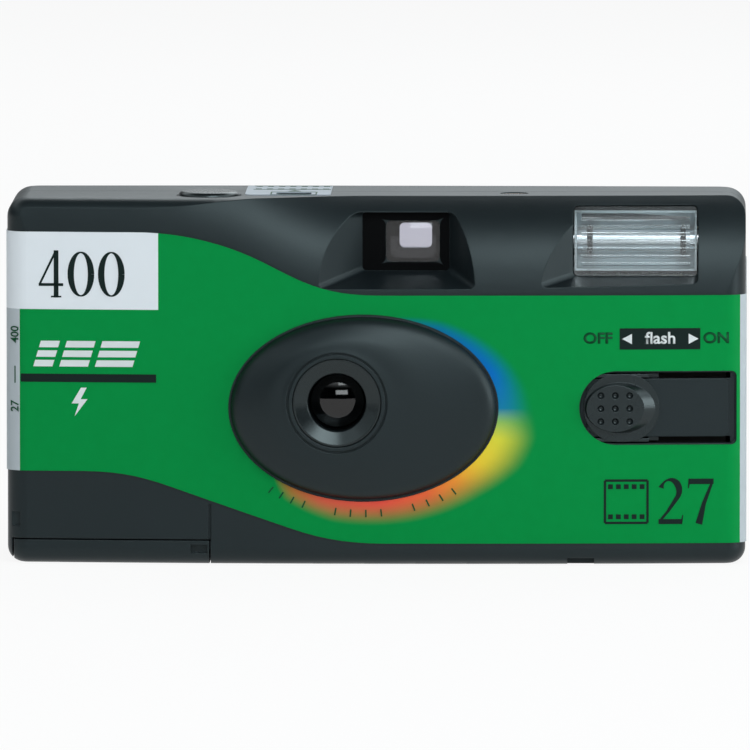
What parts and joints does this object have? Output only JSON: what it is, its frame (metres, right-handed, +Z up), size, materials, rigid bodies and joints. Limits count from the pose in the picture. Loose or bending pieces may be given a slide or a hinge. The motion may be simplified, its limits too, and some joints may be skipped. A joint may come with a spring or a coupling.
{
  "type": "disposable film camera",
  "caption": "Single-use compact film camera with built-in flash: bowed black shell, wrap label, oval lens mound, viewfinder and flash recesses, thumbwheel and bottom cassette lid.",
  "frame": {"origin": "on the ground under the middle of the camera's box", "axes": "+X to the right seen from the front, the lens faces -Y, +Z up"},
  "size_m": [0.108, 0.034, 0.054],
  "materials": {
    "black_plastic": "fine grained black ABS",
    "black_gloss": "smooth black",
    "label_print": "printed film label, green with white and colour print",
    "pale_label": "matt printed label",
    "clear_plastic": "clear moulded plastic",
    "lens_plastic": "polished moulded lens",
    "bright_metal": "bright reflector sheet",
    "flash_glass": "clear glass tube",
    "circuit_board": "paper phenolic board",
    "component": "small parts",
    "capacitor_sleeve": "shrink sleeve",
    "ferrite": "sintered ferrite with winding",
    "battery_jacket": "printed steel jacket",
    "contact_metal": "plated spring sheet",
    "spring_steel": "music wire",
    "blade_metal": "blackened sheet",
    "switch_plastic": "dark grey plastic",
    "dial_plastic": "white with printed numbers",
    "wheel_plastic": "dark plastic",
    "can_metal": "printed sheet can",
    "cap_metal": "blackened sheet",
    "film_base": "coated film",
    "lamp_plastic": "clear orange plastic"
  },
  "bodies": {
    "camera": {"front_cover": "black_plastic", "rear_cover": "black_plastic", "wrap_label": "label_print", "top_label": "pale_label", "chassis": "black_plastic", "lens_ring": "black_gloss", "taking_lens": "lens_plastic", "aperture_plate": "black_plastic", "blade_spring": "spring_steel", "lever_spring": "spring_steel", "sync_contacts": "contact_metal", "viewfinder_front_lens": "lens_plastic", "viewfinder_tube": "black_plastic", "viewfinder_rear_lens": "lens_plastic", "flash_window": "clear_plastic", "flash_reflector": "bright_metal", "xenon_tube": "flash_glass", "flash_board": "circuit_board", "board_components": "component", "main_capacitor": "capacitor_sleeve", "step_up_transformer": "ferrite", "trigger_coil": "component", "battery": "battery_jacket", "battery_contact_top": "contact_metal", "battery_contact_bottom": "contact_metal", "ready_lamp": "lamp_plastic", "button_spring": "spring_steel", "counter_window": "clear_plastic", "cassette_can": "can_metal", "cassette_cap_top": "cap_metal", "cassette_cap_bottom": "cap_metal", "film_strip": "film_base"},
    "button": {"shutter_button": "black_gloss"},
    "switch": {"flash_switch": "switch_plastic", "switch_contact": "contact_metal"},
    "winder": {"thumbwheel": "wheel_plastic", "cassette_spool": "black_gloss"},
    "sprocket": {"sprocket_wheel": "wheel_plastic"},
    "supply": {"supply_spool": "black_gloss", "film_roll": "film_base"},
    "counter": {"counter_dial": "dial_plastic"},
    "lever": {"kick_lever": "black_gloss"},
    "blade": {"shutter_blade": "blade_metal"},
    "pawl": {"ratchet_pawl": "wheel_plastic"},
    "lid": {"cassette_lid": "black_plastic"}
  },
  "joints": [
    {"name": "button_press", "type": "slide", "parent": "camera", "child": "button", "axis": [0, 0, -1], "range_m": [0, 0.0012], "stiffness_N_per_m": 250, "springref_m": -0.001, "deforming": ["button_spring"]},
    {"name": "flash_switch_slide", "type": "slide", "parent": "camera", "child": "switch", "axis": [0.9977, 0.0684, 0], "range_m": [0, 0.01]},
    {"name": "wheel_turn", "type": "hinge", "parent": "camera", "child": "winder", "pos_m": [-0.0386, 0.00255, 0.0483], "axis": [0, 0, 1], "continuous": true},
    {"name": "sprocket_turn", "type": "hinge", "parent": "camera", "child": "sprocket", "pos_m": [-0.019, 0.00855, 0.044], "axis": [0, 0, 1], "continuous": true},
    {"name": "supply_turn", "type": "hinge", "parent": "camera", "child": "supply", "pos_m": [0.0243, 0.0055, 0.024], "axis": [0, 0, 1], "continuous": true},
    {"name": "counter_turn", "type": "hinge", "parent": "camera", "child": "counter", "pos_m": [-0.0122, 0.0024, 0.0507], "axis": [0, 0, 1], "continuous": true},
    {"name": "lever_swing", "type": "hinge", "parent": "camera", "child": "lever", "pos_m": [-0.0156, -0.01045, 0.038], "axis": [0, -1, 0], "range_deg": [0, 20], "stiffness_Nm_per_rad": 0.0005, "springref_deg": -17.19, "deforming": ["lever_spring"]},
    {"name": "blade_swing", "type": "hinge", "parent": "camera", "child": "blade", "pos_m": [-0.0126, -0.01045, 0.03], "axis": [0, 1, 0], "range_deg": [0, 25], "stiffness_Nm_per_rad": 0.0005, "springref_deg": -17.19, "deforming": ["blade_spring"]},
    {"name": "pawl_click", "type": "hinge", "parent": "camera", "child": "pawl", "pos_m": [-0.0235, 0.0105, 0.0484], "axis": [0, 0, -1], "range_deg": [0, 6], "stiffness_Nm_per_rad": 0.0005, "springref_deg": -11.46},
    {"name": "lid_open", "type": "hinge", "parent": "camera", "child": "lid", "pos_m": [-0.0386, 0.0126, 0.00065], "axis": [1, 0, 0], "range_deg": [0, 90]}
  ],
  "couplings": [
    {"joint": "sprocket_turn", "follows": "wheel_turn", "ratio": 0.9259},
    {"joint": "supply_turn", "follows": "wheel_turn", "ratio": 0.6474},
    {"joint": "counter_turn", "follows": "wheel_turn", "ratio": -0.03086},
    {"joint": "blade_swing", "follows": "lever_swing", "ratio": 1.25}
  ]
}
